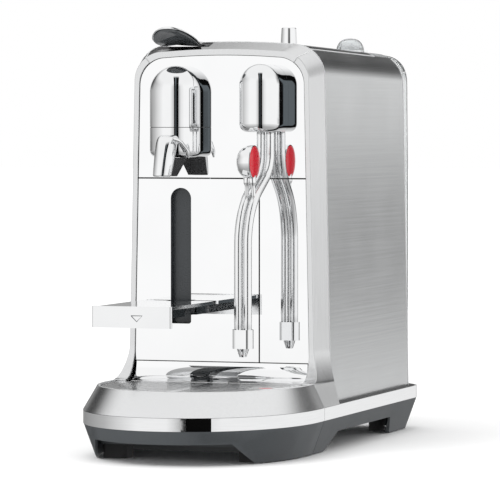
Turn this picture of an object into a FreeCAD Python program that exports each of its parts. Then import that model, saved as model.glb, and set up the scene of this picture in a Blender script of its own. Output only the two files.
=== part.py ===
import FreeCAD, Part
import math
import os

# Pod coffee machine with a steam wand. Millimetres, +X to the right, +Y to the rear, +Z up.
# The origin is the centre of the machine's bounding box, at the level it stands on.

V = FreeCAD.Vector

# ---- Driving dimensions ------------------------------------------------------------------------
HALF_DEPTH = 196.5          # nose tip to rear is twice this
BASE_HALF_WIDTH = 85.0      # widest place, the bright band of the base
PANEL_Y = -52.2             # polished front panel
SEAM_Y = -72.0              # joint between the sliding tray unit and the fixed base
BODY_REAR_Y = 172.0         # rear edge of the side panels
BULKHEAD_Y = 131.0          # black wall in front of the water tank

SKIRT_TOP = 25.0            # dark skirt below, bright band above
BAND_TOP = 34.4
SKIRT_INSET = 9.1           # how far the skirt leans in at the floor
RING_TOP = 51.0             # upper edge of the satin cone round the drip grid
LOWER_SEAM_Z = 64.3         # horizontal joints in the polished front
UPPER_SEAM_Z = 198.6
SIDE_SEAM_X = 29.0          # upright joint in the lower front

NOSE_Y = -82.6              # centre of the rounded nose
NOSE_LENGTH = HALF_DEPTH + NOSE_Y
NOSE_POWER = 2.09           # superellipse exponent of the nose
REAR_CORNER = 31.0          # plan radius of the base's rear corners

OPENING_TOP_Z = 288.6       # front opening of the bezel, on the centre line
OPENING_HALF_WIDTH = 64.75  # front opening at the upper seam
SIDE_TAPER = 0.01936        # the sides lean out towards the floor
CORNER_RADIUS = 20.0
CROWN_RADIUS = 560.0        # gentle crown of the top
TOP_SLOPE = 0.016           # the top falls to the rear
BEZEL_FACE = 3.8            # flat strip round the front
BEZEL_EDGE = 9.3            # outer edge of the sloped strip, which is the body's own surface
BEZEL_DEPTH = 21.0
SHEET = 1.5                 # outer steel sheets
GAP = 0.4                   # shut line between neighbouring covers

COFFEE_X = -32.5            # cup support and lever are in one line
HEAD_X, HEAD_RADIUS, HEAD_STRAIGHT = -31.5, 19.3, 10.2      # coffee head
WAND_X, WAND_RADIUS, WAND_STRAIGHT = 35.9, 15.2, 19.0       # wand head
TUBE_XS = ((34.4, 31.2), (41.5, 38.0))     # the wand's two tubes, at the swivel and at the nozzle
TUBE_RADIUS = 3.15
TUBE_BORE = 1.9
WAND_PIVOT = (PANEL_Y - 12.5, 235.0)       # Y, Z
SUPPORT_PIVOT = (PANEL_Y - 6.0, 104.0)
LEVER_PIVOT = (34.0, 291.8)
LEVER_TOP = (299.2, 299.2, 299.2, 299.2, 299.2, 299.2, 299.3, 299.4, 299.8, 300.9, 303.5, 307.0, 309.2)
LEVER_STEP = 10.0           # the heights above run forward from Y = 40 in these steps
LEVER_DOME = 4.0            # fall of its top at the edges of the scoop
SCOOP_Y, SCOOP_RADIUS = -60.0, 17.5
OUTLET = (0.0, 152.0)       # the tank's outlet in plan
DIAL = (37.0, -7.0)
BUTTON_Y = 8.0
BUTTON_XS = (-2.0, 11.0, 24.0)
BUTTON_RADIUS = 4.5
INLET_X, INLET_Z = 52.0, 16.5
RUNNING = 0.05              # radial clearance of pins in their bores


# ---- Helpers -----------------------------------------------------------------------------------
def block(x0, x1, y0, y1, z0, z1):
    return Part.makeBox(x1 - x0, y1 - y0, z1 - z0, V(x0, y0, z0))


def rod(start, direction, radius, length):
    return Part.makeCylinder(radius, length, V(*start), V(*direction))


def prism(points, axis, start, end):
    """Extrude a polygon along axis: (y, z) points for x, (x, z) for y and (x, y) for z."""
    place = {"x": lambda a, b: V(start, a, b), "y": lambda a, b: V(a, start, b),
             "z": lambda a, b: V(a, b, start)}[axis]
    run = {"x": V(end - start, 0, 0), "y": V(0, end - start, 0), "z": V(0, 0, end - start)}[axis]
    corners = [place(a, b) for a, b in points]
    face = Part.Face(Part.makePolygon(corners + corners[:1]))
    return face.extrude(run)


def loft(wires, ruled=True):
    return Part.makeLoft(wires, True, ruled)


def fuse(shapes):
    whole = shapes[0]
    for shape in shapes[1:]:
        whole = whole.fuse(shape)
    return whole.removeSplitter()


def line(a, b):
    return Part.LineSegment(a, b).toShape()


def arc(a, b, c):
    return Part.Arc(a, b, c).toShape()


def front_half_width(z, offset):
    return OPENING_HALF_WIDTH + SIDE_TAPER * (UPPER_SEAM_Z - z) + offset


def front_outline(y, offset, z_bottom):
    """Arched outline of the body at depth y, offset outward from the front opening."""
    top = OPENING_TOP_Z + 1.1 * offset - TOP_SLOPE * max(0.0, y - PANEL_Y)
    radius = CORNER_RADIUS + 0.4 * offset
    side = front_half_width(top - radius, offset)
    shoulder_x = side - radius
    shoulder_z = top - shoulder_x ** 2 / (2 * CROWN_RADIUS)
    side_z = shoulder_z - radius
    diagonal = radius * math.sqrt(0.5)
    foot = front_half_width(z_bottom, offset)
    left, right = V(-foot, y, z_bottom), V(foot, y, z_bottom)
    side_left, side_right = V(-side, y, side_z), V(side, y, side_z)
    top_left, top_right = V(-shoulder_x, y, shoulder_z), V(shoulder_x, y, shoulder_z)
    bend_left = V(-shoulder_x - diagonal, y, side_z + diagonal)
    bend_right = V(shoulder_x + diagonal, y, side_z + diagonal)
    return Part.Wire([line(left, side_left), arc(side_left, bend_left, top_left),
                      arc(top_left, V(0, y, top), top_right), arc(top_right, bend_right, side_right),
                      line(side_right, right), line(right, left)])


def body_block(offset, y0, y1, z_bottom):
    return loft([front_outline(y0, offset, z_bottom), front_outline(y1, offset, z_bottom)])


def panel_plate(z0, z1, thickness=SHEET):
    """Slice of the front plate between two heights."""
    plate = Part.Face(front_outline(PANEL_Y, -GAP, BAND_TOP)).extrude(V(0, thickness, 0))
    return plate.common(block(-90, 90, PANEL_Y - 1, PANEL_Y + thickness + 1, z0, z1))


def nose_outline(z, half_width, length, rear_y):
    """Plan of the nose: a superellipse in front, straight sides back to rear_y."""
    steps = 16
    points = []
    for step in range(steps + 1):
        angle = math.pi * step / steps
        cosine, sine = math.cos(angle), math.sin(angle)
        across = math.copysign(abs(cosine) ** (2 / NOSE_POWER), cosine)
        points.append(V(half_width * across, NOSE_Y - length * abs(sine) ** (2 / NOSE_POWER), z))
    points[0], points[-1] = V(half_width, NOSE_Y, z), V(-half_width, NOSE_Y, z)
    curve = Part.BSplineCurve()
    curve.interpolate(points)
    rear_left, rear_right = V(-half_width, rear_y, z), V(half_width, rear_y, z)
    return Part.Wire([curve.toShape(), line(points[-1], rear_left), line(rear_left, rear_right),
                      line(rear_right, points[0])])


def nose_block(z0, z1, half_width, length, rear_y):
    return Part.Face(nose_outline(z0, half_width, length, rear_y)).extrude(V(0, 0, z1 - z0))


def rear_outline(z, inset, front_y=SEAM_Y + GAP):
    """Plan of the fixed base: square in front, rounded rear corners."""
    side, rear = BASE_HALF_WIDTH - inset, HALF_DEPTH - inset
    radius = REAR_CORNER - inset
    diagonal = radius * math.sqrt(0.5)
    centre_x, centre_y = side - radius, rear - radius
    a, b = V(side, front_y, z), V(side, centre_y, z)
    c, d = V(centre_x, rear, z), V(-centre_x, rear, z)
    e, f = V(-side, centre_y, z), V(-side, front_y, z)
    return Part.Wire([line(a, b), arc(b, V(centre_x + diagonal, centre_y + diagonal, z), c), line(c, d),
                      arc(d, V(-centre_x - diagonal, centre_y + diagonal, z), e), line(e, f), line(f, a)])


def rear_block(z0, z1, inset, front_y=SEAM_Y + GAP):
    return Part.Face(rear_outline(z0, inset, front_y)).extrude(V(0, 0, z1 - z0))


def rounded_plan(x0, x1, y0, y1, z0, z1, radius):
    shape = block(x0, x1, y0, y1, z0, z1)
    upright = [e for e in shape.Edges if abs(e.Vertexes[0].Z - e.Vertexes[1].Z) > (z1 - z0) / 2]
    return shape.makeFillet(radius, upright)


def bent_path(points, radius):
    """Straight runs through points, joined by tangent arcs."""
    corners = [V(*p) for p in points]
    edges, start = [], corners[0]
    for before, corner, after in zip(corners, corners[1:], corners[2:]):
        u, w = (before - corner).normalize(), (after - corner).normalize()
        half = u.getAngle(w) / 2
        reach = min(radius / math.tan(half), 0.45 * min((before - corner).Length, (after - corner).Length))
        bend = reach * math.tan(half)
        a, b = corner + u * reach, corner + w * reach
        centre = corner + (u + w).normalize() * (bend / math.sin(half))
        middle = centre + (corner - centre).normalize() * bend
        edges += [line(start, a), arc(a, middle, b)]
        start = b
    return Part.Wire(edges + [line(start, corners[-1])])


def bar(points, bend, radius):
    """Round bar along a bent path."""
    path = bent_path(points, bend)
    start, ahead = V(*points[0]), V(*points[1])
    circle = Part.Wire(Part.Circle(start, ahead - start, radius).toShape())
    return path.makePipeShell([circle], True, False)


def tube(points, bend, radius, bore):
    return bar(points, bend, radius).cut(bar(points, bend, bore))


def arch(x, half_width, z0, z1, y0, y1, foot_radius):
    """Upright block with a round top and rounded lower corners, seen from the front."""
    centre_z = z1 - half_width
    body = block(x - half_width, x + half_width, y0, y1, z0, centre_z)
    lower = [e for e in body.Edges if abs(e.CenterOfMass.z - z0) < 0.01 and abs(e.CenterOfMass.x - x) > 1]
    lower = [e for e in lower if abs(e.Vertexes[0].Y - e.Vertexes[1].Y) > 1]
    body = body.makeFillet(foot_radius, lower)
    cap = rod((x, y0, centre_z), (0, 1, 0), half_width, y1 - y0)
    return fuse([body, cap])


# ---- Base and feet -----------------------------------------------------------------------------
def make_base_shell():
    outer = loft([rear_outline(0.6, SKIRT_INSET), rear_outline(SKIRT_TOP, 0.2)])
    below = loft([rear_outline(-0.5, SKIRT_INSET + 4, SEAM_Y + 3), rear_outline(15, 5, SEAM_Y + 3)])
    above = rear_block(18, SKIRT_TOP + 1, 4, SEAM_Y + 3)
    side_gap = prism([(-48, -1), (-25, 14), (110, 14), (125, -1)], "x", -100, 100)
    rear_gap = prism([(-50, -1), (-38, 14), (38, 14), (50, -1)], "y", 150, 200)
    tongue = block(-60, 60, -142, SEAM_Y + 6, 10.5, 14)
    ribs = [block(x - 2, x + 2, PANEL_Y, 150, 18, 22) for x in (-40, 0, 40)]
    shell = outer.cut(below).cut(above).cut(side_gap).cut(rear_gap)
    neck = block(-52, 52, SEAM_Y, SEAM_Y + 8, 10.5, 18)
    tray_way = block(-67.2, 67.2, SEAM_Y - 1, PANEL_Y - 1, 18.4, SKIRT_TOP + 1)
    return fuse([shell.cut(tray_way), neck, tongue] + ribs).cut(inlet_block(7.7))


def inlet_block(radius):
    return rod((INLET_X, HALF_DEPTH - 14, INLET_Z), (0, 1, 0), radius, 20)


def make_foot_pads():
    """Six rubber pads under the base: two under the tongue, two amidships and two at the rear."""
    places = [(-51, -131, 10.5), (51, -131, 10.5), (-66, -58, 0.6), (66, -58, 0.6), (-58, 150, 0.6),
              (58, 150, 0.6)]
    pads = []
    for x, y, top in places:
        if top > 1:
            pads.append(rounded_plan(x - 9, x + 9, y - 9, y + 9, 0, top, 3))
        else:
            pads.append(rod((x, y, 0), (0, 0, 1), 6, 15))
    return Part.makeCompound(pads)


def make_base_band():
    return rear_block(SKIRT_TOP, BAND_TOP - 0.2, 0).cut(rear_block(SKIRT_TOP - 1, BAND_TOP, 1.6, SEAM_Y - 1))


def make_deck():
    """Plate that carries the body, cut away in front for the tray."""
    plate = rear_block(31.4, BAND_TOP, 1.8, SEAM_Y + 1)
    bosses = [rod((x, y, SKIRT_TOP), (0, 0, 1), 5, 31.4 - SKIRT_TOP) for x in (-60, 60) for y in (0, 120)]
    socket = rod((*OUTLET, 31), (0, 0, 1), 9, 5)
    tray_way = block(-67.2, 67.2, SEAM_Y - 5, PANEL_Y - 2.4, 30, BAND_TOP + 1)
    return fuse([plate] + bosses).cut(socket).cut(tray_way)


def make_tank_plinth():
    """Brushed step behind the side panels that the tank stands on."""
    hull = body_block(BEZEL_EDGE, 134, HALF_DEPTH - 7.5, BAND_TOP)
    plan = rounded_plan(-77.5, 77.5, 80, HALF_DEPTH - 7.5, BAND_TOP, 47, 24)
    rear = hull.common(plan).common(block(-100, 100, BODY_REAR_Y + GAP, 200, BAND_TOP, 47))
    front = block(-72, 72, 134, BODY_REAR_Y + GAP, BAND_TOP, 47)
    socket = rod((*OUTLET, BAND_TOP - 1), (0, 0, 1), 8.4, 20)
    return fuse([fuse([rear, front]).cut(socket), tank_coupling()])


def tank_coupling():
    """Seat that opens the tank's valve."""
    cup = rod((*OUTLET, 31.4), (0, 0, 1), 8.6, 12)
    hollow = rod((*OUTLET, 35), (0, 0, 1), 6.4, 12)
    pin = rod((*OUTLET, 34), (0, 0, 1), 1.6, 7)
    return fuse([cup.cut(hollow), pin])


# ---- Body covers -------------------------------------------------------------------------------
def bezel_ring():
    outer = loft([front_outline(PANEL_Y - 1, BEZEL_FACE, BAND_TOP),
                  front_outline(PANEL_Y - 1 + BEZEL_DEPTH, BEZEL_EDGE, BAND_TOP)])
    hole = body_block(0, PANEL_Y - 5, PANEL_Y + BEZEL_DEPTH + 5, BAND_TOP - 1)
    return outer.cut(hole)


def mitre_wedge():
    return prism([(-54, 281), (54, 281), (66, 296), (66, 310), (-66, 310), (-66, 296)], "y", -80, 0)


def lever_well():
    """Room in the top for the lever's housing."""
    return block(-53, -12, PANEL_Y + 6, 44, 282, 320)


def make_bezel_top():
    return bezel_ring().common(mitre_wedge()).cut(lever_well())


def bezel_leg(side):
    """One leg of the bezel, with the cove that sweeps forward onto the tray at its foot."""
    leg = bezel_ring().cut(mitre_wedge()).common(block(0, 100, -80, 0, 76, 320))
    rear = PANEL_Y - 1 + BEZEL_DEPTH
    stations = [(76, 1.0, 67.1, 71.0, 76.45), (68, 2.0, 67.3, 71.6, 76.7), (59, 6.5, 67.4, 73.4, 77.6),
                (53.5, 12.5, 67.5, 75.8, 79.4), (51.5, 19.3, 67.6, 77.0, 81.0),
                (BAND_TOP, 19.3, 67.8, 84.6, 84.6)]
    wires = []
    for z, forward, inner, front_x, rear_x in stations:
        front = PANEL_Y - forward
        corners = [V(inner, front, z), V(front_x, front, z), V(rear_x, rear, z), V(inner, rear, z)]
        wires.append(Part.makePolygon(corners + corners[:1]))
    whole = leg
    for lower, upper in zip(wires[1:], wires):
        whole = whole.fuse(loft([lower, upper]))
    whole = whole.removeSplitter()
    return whole if side > 0 else whole.mirror(V(0, 0, 0), V(1, 0, 0))


def body_sheet(y0, y1, thickness=SHEET):
    return body_block(BEZEL_EDGE, y0, y1, BAND_TOP).cut(
        body_block(BEZEL_EDGE - thickness, y0 - 1, y1 + 1, BAND_TOP - 1))


def side_panel(side):
    sheet = body_sheet(PANEL_Y - 1 + BEZEL_DEPTH + 0.2, BODY_REAR_Y)
    return sheet.common(block(61.5, 100, -80, 200, BAND_TOP, 320)) if side > 0 else sheet.common(
        block(-100, -61.5, -80, 200, BAND_TOP, 320))


def control_holes(grow):
    """Places of the display, dial and buttons on the top cover."""
    holes = [block(-9 - grow, 25 + grow, -28 - grow, -6 + grow, 285, 310),
             rod((DIAL[0], DIAL[1], 280), (0, 0, 1), 3.0 + grow, 40)]
    holes += [rod((x, BUTTON_Y, 280), (0, 0, 1), BUTTON_RADIUS + grow, 40) for x in BUTTON_XS]
    return holes


def make_top_cover():
    sheet = body_sheet(PANEL_Y - 1 + BEZEL_DEPTH + 0.2, BULKHEAD_Y, 2.0)
    cover = sheet.common(block(-61.2, 61.2, -80, 200, 240, 320)).cut(lever_well())
    for hole in control_holes(GAP):
        cover = cover.cut(hole)
    return cover


def make_upper_panel():
    plate = panel_plate(UPPER_SEAM_Z + 0.5, 320)
    holes = [rod((COFFEE_X, PANEL_Y - 1, 250), (0, 1, 0), 9, 5),
             rod((WAND_X, PANEL_Y - 1, 258), (0, 1, 0), 6, 5)]
    return plate.cut(holes[0]).cut(holes[1])


def make_lower_panel_right():
    plate = panel_plate(LOWER_SEAM_Z + 0.5, UPPER_SEAM_Z - 0.5)
    return plate.common(block(SIDE_SEAM_X + 0.5, 90, -60, -40, 30, 320))


def make_bulkhead():
    """Black wall that closes the body in front of the tank."""
    wall = body_block(BEZEL_EDGE - SHEET - 0.6, BULKHEAD_Y + GAP, BULKHEAD_Y + 2.4, BAND_TOP)
    return wall.cut(rod((-45, BULKHEAD_Y - 1, 70), (0, 1, 0), 5, 5))


# ---- Coffee head and wand head -----------------------------------------------------------------
HEAD_SPLIT_Z = 235.8


def head_block(x, radius, straight, z0, z1, foot):
    """Upright head: a round front and straight sides below, a dome above, rounded at the bottom."""
    y, back = PANEL_Y - straight, PANEL_Y - 0.1
    crown = z1 - radius
    column = fuse([rod((x, y, z0), (0, 0, 1), radius, crown - z0), block(x - radius, x + radius, y, back, z0, crown)])
    lower = [e for e in column.Edges if e.BoundBox.ZMax < z0 + 0.01 and e.BoundBox.YMin < back - 0.1]
    column = column.makeFillet(foot, lower)
    ball = Part.makeSphere(radius, V(x, y, crown))
    return fuse([column, ball, rod((x, y, crown), (0, 1, 0), radius, straight - 0.1)])


def coffee_head_block():
    return head_block(HEAD_X, HEAD_RADIUS, HEAD_STRAIGHT, 214, 280.8, 5)


def make_coffee_head_cap():
    return coffee_head_block().common(block(-60, 0, -100, PANEL_Y, HEAD_SPLIT_Z + 0.25, 300))


def make_coffee_outlet():
    lower = coffee_head_block().common(block(-60, 0, -100, PANEL_Y, 200, HEAD_SPLIT_Z - 0.25))
    bore = rod((COFFEE_X, PANEL_Y - 18, 205), (0, 0, 1), 4, 40)
    return lower.cut(bore)


def spout_lip(z, reach, half_left, half_right):
    """Section of the spout at height z, rounded in front, reaching forward of the panel by reach."""
    rear, front = PANEL_Y - reach + 7.5, PANEL_Y - reach
    left, right = COFFEE_X - half_left, COFFEE_X + half_right
    edge_left, edge_right = V(left, rear, z), V(right, rear, z)
    return Part.Wire([line(edge_right, edge_left), line(edge_left, V(left, front + 5, z)),
                      arc(V(left, front + 5, z), V(COFFEE_X, front, z), V(right, front + 5, z)),
                      line(V(right, front + 5, z), edge_right)])


def make_coffee_spout():
    """Chrome outer half of the coffee spout."""
    shape = loft([spout_lip(200, 47, 5.1, 5.1), spout_lip(214, 43, 6.2, 7), spout_lip(227, 36, 8, 9)])
    bore = rod((COFFEE_X, PANEL_Y - 41.5, 199), (0, 0.22, 1), 3.0, 26)
    return shape.cut(bore).cut(coffee_head_block())


def make_spout_back():
    """Black inner half of the coffee spout."""
    front, rear = PANEL_Y - 39.3, PANEL_Y - 33.5
    low = [V(COFFEE_X - 5.1, front, 200.5), V(COFFEE_X + 5.1, front, 200.5), V(COFFEE_X + 10, rear, 200.5),
           V(COFFEE_X - 5.1, rear, 200.5)]
    high = [V(COFFEE_X - 6.2, PANEL_Y - 35.3, 213.8), V(COFFEE_X + 7, PANEL_Y - 35.3, 213.8),
            V(COFFEE_X + 13, PANEL_Y - 20, 213.8), V(COFFEE_X - 7, PANEL_Y - 20, 213.8)]
    shape = loft([Part.makePolygon(corners + corners[:1]) for corners in (low, high)])
    bore = rod((COFFEE_X, PANEL_Y - 41.5, 199), (0, 0.22, 1), 3.0, 26)
    return shape.cut(make_coffee_spout()).cut(bore)


def wand_head_block():
    return head_block(WAND_X, WAND_RADIUS, WAND_STRAIGHT, 232.4, 281.5, 6)


def make_wand_head():
    barrel_room = rod((27.7, *WAND_PIVOT), (1, 0, 0), 11.3, 20.1)
    axle = rod((25, *WAND_PIVOT), (1, 0, 0), 2.5, 24)
    return fuse([wand_head_block().cut(barrel_room), axle])


# ---- Steam wand --------------------------------------------------------------------------------
def wand_points(index):
    """Route of one tube: down from the swivel, forward under the grip, then down to the nozzle."""
    top_x, low_x = TUBE_XS[index]
    y = PANEL_Y - 12.5
    return [(top_x, y, 228), (top_x, y, 205), (low_x, PANEL_Y - 54, 176), (low_x, PANEL_Y - 54, 86)]


def steam_tube(index):
    return tube(wand_points(index), 22, TUBE_RADIUS, TUBE_BORE)


def make_wand_barrel():
    """Swivel that both tubes hang from."""
    x0 = 28.0
    barrel = rod((x0, *WAND_PIVOT), (1, 0, 0), 11, 19.5)
    barrel = barrel.cut(rod((x0 - 1, *WAND_PIVOT), (1, 0, 0), 2.5 + RUNNING, 22))
    for top_x, low_x in TUBE_XS:
        barrel = barrel.cut(rod((top_x, WAND_PIVOT[0], 220), (0, 0, 1), TUBE_RADIUS, 8))
    return barrel.cut(block(x0 - 1, x0 + 21, WAND_PIVOT[0] - 20, WAND_PIVOT[0] + 20, 218, 226.5))


def make_steam_nozzle():
    """Block at the foot of both tubes, with the steam tip."""
    y = PANEL_Y - 54
    body = rounded_plan(26.9, 42.3, y - 4.9, y + 4.9, 78, 91.6, 4.7)
    tip = Part.makeCone(2.6, 4.6, 6, V(34.6, y, 72), V(0, 0, 1))
    nozzle = fuse([body, tip]).cut(rod((34.6, y, 70), (0, 0, 1), 0.8, 10))
    for top_x, low_x in TUBE_XS:
        nozzle = nozzle.cut(rod((low_x, y, 86), (0, 0, 1), TUBE_RADIUS, 10))
    return nozzle


GRIP_Y, GRIP_Z = PANEL_Y - 41.6, 211.0


def make_grip_cup():
    """Polished cup and neck that the wand is moved by."""
    cup = rod((27, GRIP_Y, GRIP_Z), (1, 0, 0), 12.2, 12.4)
    cup = cup.makeFillet(6.5, [e for e in cup.Edges if e.BoundBox.XMax < 27.01])
    neck = bar([(34, GRIP_Y, GRIP_Z - 8), (36, GRIP_Y - 0.4, 195), (36.4, GRIP_Y - 0.4, 185.5)], 6, 3.4)
    whole = fuse([cup, neck]).cut(rod((37.4, GRIP_Y, GRIP_Z), (1, 0, 0), 11.4, 3))
    for index in (0, 1):
        whole = whole.cut(bar(wand_points(index), 22, TUBE_RADIUS))
    return whole


def make_grip_disc():
    disc = rod((37.4, GRIP_Y, GRIP_Z), (1, 0, 0), 11.2, 3.2)
    return disc.makeFillet(1.5, [e for e in disc.Edges if e.BoundBox.XMin > 40.5])


# ---- Tray unit ---------------------------------------------------------------------------------
def make_tray_skirt():
    outer = loft([nose_outline(0.8, BASE_HALF_WIDTH - SKIRT_INSET, NOSE_LENGTH - SKIRT_INSET, SEAM_Y),
                  nose_outline(SKIRT_TOP, BASE_HALF_WIDTH - 0.2, NOSE_LENGTH - 0.2, SEAM_Y)])
    inner = loft([nose_outline(-1, BASE_HALF_WIDTH - SKIRT_INSET - 3, NOSE_LENGTH - SKIRT_INSET - 3, SEAM_Y + 2),
                  nose_outline(SKIRT_TOP + 1, BASE_HALF_WIDTH - 3, NOSE_LENGTH - 3, SEAM_Y + 2)])
    front_gap = prism([(-64, -1), (-56, 15.5), (49, 15.5), (60, -1)], "y", -210, -110)
    return outer.cut(inner).cut(front_gap)


def make_tray_band():
    outer = nose_block(SKIRT_TOP, BAND_TOP - 0.2, BASE_HALF_WIDTH, NOSE_LENGTH, SEAM_Y)
    inner = nose_block(SKIRT_TOP - 1, BAND_TOP + 1, BASE_HALF_WIDTH - 1.6, NOSE_LENGTH - 1.6, SEAM_Y + 1)
    return outer.cut(inner).cut(window_box(0.2))


def window_box(grow):
    """The small dark window in the front of the band."""
    return block(22.4 - grow, 38 + grow, -205, -178, SKIRT_TOP - grow, BAND_TOP + grow)


def make_indicator_window():
    outer = nose_block(SKIRT_TOP, BAND_TOP - 0.2, BASE_HALF_WIDTH, NOSE_LENGTH, SEAM_Y)
    inner = nose_block(SKIRT_TOP - 1, BAND_TOP + 1, BASE_HALF_WIDTH - 1.6, NOSE_LENGTH - 1.6, SEAM_Y + 1)
    return outer.cut(inner).common(window_box(0))


def make_tray_ring():
    """Satin cone that rises from the band to the drip grid."""
    outer = loft([nose_outline(BAND_TOP, BASE_HALF_WIDTH, NOSE_LENGTH, SEAM_Y),
                  nose_outline(RING_TOP, 77, 93, SEAM_Y)])
    inner = loft([nose_outline(BAND_TOP - 0.5, BASE_HALF_WIDTH - 2.2, NOSE_LENGTH - 2.8, SEAM_Y + 1),
                  nose_outline(RING_TOP + 0.5, 74.8, 90.4, SEAM_Y + 1)])
    return outer.cut(inner)


def make_tray_basin():
    """Grey basin that catches the drips, with a flange inside the band."""
    nose = nose_block(19, 46.5, 73.4, 88, SEAM_Y - 0.6)
    tail = block(-66.4, 66.4, SEAM_Y - 1, PANEL_Y - 3, 19, 46.5)
    hollow = fuse([nose_block(21, 50, 71.4, 86, SEAM_Y - 3),
                   block(-64.4, 64.4, SEAM_Y - 4, PANEL_Y - 5, 21, 50)])
    flange = nose_block(30, 33, BASE_HALF_WIDTH - 3.2, NOSE_LENGTH - 3.4, SEAM_Y - 0.6)
    flange = flange.cut(nose_block(29, 34, 72, 87, SEAM_Y + 5))
    return fuse([nose, tail, flange]).cut(hollow)


def make_tray_cove():
    """Polished cove between the drip grid and the front panel."""
    front, back = PANEL_Y - 13.5, PANEL_Y - 0.2
    low, high = 47.0, LOWER_SEAM_Z - 0.2
    curve = arc(V(0, front, RING_TOP - 0.6), V(0, PANEL_Y - 4.2, RING_TOP + 3.3), V(0, back, high))
    corners = [V(0, back, high), V(0, PANEL_Y + 1.5, high), V(0, PANEL_Y + 1.5, low), V(0, front, low),
               V(0, front, RING_TOP - 0.6)]
    edges = [curve] + [line(a, b) for a, b in zip(corners, corners[1:])]
    solid = Part.Face(Part.Wire(edges)).extrude(V(132, 0, 0))
    solid.translate(V(-66, 0, 0))
    return solid


def make_tray_carrier():
    """Sled under the capsule container that joins it to the basin."""
    plate = block(-64, 64, PANEL_Y - 2.9, 50, BAND_TOP + 0.3, 37.4)
    rails = [block(x - 2, x + 2, PANEL_Y + 3, 50, 37.4, 42) for x in (-62, 62)]
    wall = block(-64, 64, PANEL_Y - 2.9, PANEL_Y + 1.4, 37.4, 46.8)
    return fuse([plate, wall] + rails)


def recess_prism(grow, y0, y1):
    return arch(COFFEE_X + 1, 7.9 + grow, 92 - grow, 191.5 + grow, y0, y1, 2)


def make_lower_panel_left():
    plate = panel_plate(LOWER_SEAM_Z + 0.5, UPPER_SEAM_Z - 0.5)
    plate = plate.common(block(-90, SIDE_SEAM_X - 0.5, -60, -40, 30, 320))
    return plate.cut(recess_prism(0, PANEL_Y - 5, PANEL_Y + 5))


def make_support_recess():
    """Dark arched insert behind the polished panel, with the ears and pin of the cup support's hinge."""
    tub = recess_prism(1.5, PANEL_Y + SHEET, PANEL_Y + 7)
    tub = tub.cut(recess_prism(-0.2, PANEL_Y - 5, PANEL_Y + 5.5))
    y, z = SUPPORT_PIVOT
    ears = []
    for x in (COFFEE_X + 1 - 7.6, COFFEE_X + 1 + 5.1):
        ear = fuse([rod((x, y, z), (1, 0, 0), 4.2, 2.5), block(x, x + 2.5, y, PANEL_Y + 6.5, z - 4.2, z + 4.2)])
        ears.append(ear)
    pin = rod((COFFEE_X + 1 - 7.6, y, z), (1, 0, 0), 1.5, 15.2)
    return fuse([tub, pin] + ears)


def make_capsule_container():
    """Open bin behind the lower left panel that the used capsules fall into."""
    outer = block(-60, 26, PANEL_Y + 8, 46, 42.2, 168)
    hollow = block(-58, 24, PANEL_Y + 10, 44, 44.5, 170)
    back_notch = block(-50, 16, 40, 50, 140, 170)
    lug = block(-50, 16, PANEL_Y + SHEET + 0.1, PANEL_Y + 8, 60, 85)
    foot = block(-55, 20, PANEL_Y + 12, 42, 37.4, 42.2)
    return fuse([outer.cut(hollow).cut(back_notch), lug, foot])


def make_drip_grid():
    nose = nose_block(48, 50.2, 74.2, 89.6, SEAM_Y - 0.6)
    tail = block(-65.6, 65.6, SEAM_Y - 1, PANEL_Y - 14, 48, 50.2)
    plate = fuse([nose, tail])
    slots = []
    for step in range(14):
        y = -163 + step * 6.5
        reach = 66 * math.sqrt(max(0.05, 1 - ((min(y, NOSE_Y) - NOSE_Y) / 84) ** 2)) - 3
        slots.append(block(-reach, -3, y, y + 3, 47, 52))
        if y < -118 or y > -100:
            slots.append(block(3, reach, y, y + 3, 47, 52))
        else:
            slots.append(block(3, 40, y, y + 3, 47, 52))
    return plate.cut(Part.makeCompound(slots + [rod((52, -108, 47), (0, 0, 1), 5.4, 5)]))


def make_tray_float():
    """Red float that rises through the grid when the basin is full."""
    stem = rod((52, -108, 22), (0, 0, 1), 4.8, 28)
    disc = rod((52, -108, 21.6), (0, 0, 1), 9, 5)
    return fuse([stem, disc])


# ---- Cup support -------------------------------------------------------------------------------
SUPPORT_FRONT_Y = PANEL_Y - 102


def make_support_plate():
    """Flat perch for a small cup, with its polished front lip."""
    plate = rounded_plan(COFFEE_X - 28, COFFEE_X + 28, SUPPORT_FRONT_Y + 1, PANEL_Y - 4, 106.6, 109, 2.2)
    lip = rounded_plan(COFFEE_X - 30, COFFEE_X + 30, SUPPORT_FRONT_Y, SUPPORT_FRONT_Y + 3, 94, 109.4, 1.4)
    y = SUPPORT_PIVOT[0]
    notch = block(COFFEE_X + 1 - 8.2, COFFEE_X + 1 + 8.2, y - 5.2, y + 10, 105, 112)
    return fuse([plate, lip]).cut(notch)


def make_support_arm():
    y, z = SUPPORT_PIVOT
    x = COFFEE_X + 1
    arm = block(x - 4.8, x + 4.8, SUPPORT_FRONT_Y + 3, y, 98, 106.6)
    wings = block(x - 7.5, x + 7.5, SUPPORT_FRONT_Y + 3, y - 7, 98, 106.6)
    knuckle = rod((x - 4.8, y, z), (1, 0, 0), 4.2, 9.6)
    trim = block(x - 10, x + 10, y - 5, y + 10, 106.6, 115)
    bore = rod((x - 10, y, z), (1, 0, 0), 1.5 + RUNNING, 20)
    corner = block(x - 10, x + 10, y + 0.2, y + 10, 95, z - 3.9)
    return fuse([arm, wings, knuckle]).cut(trim).cut(bore).cut(corner)


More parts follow.
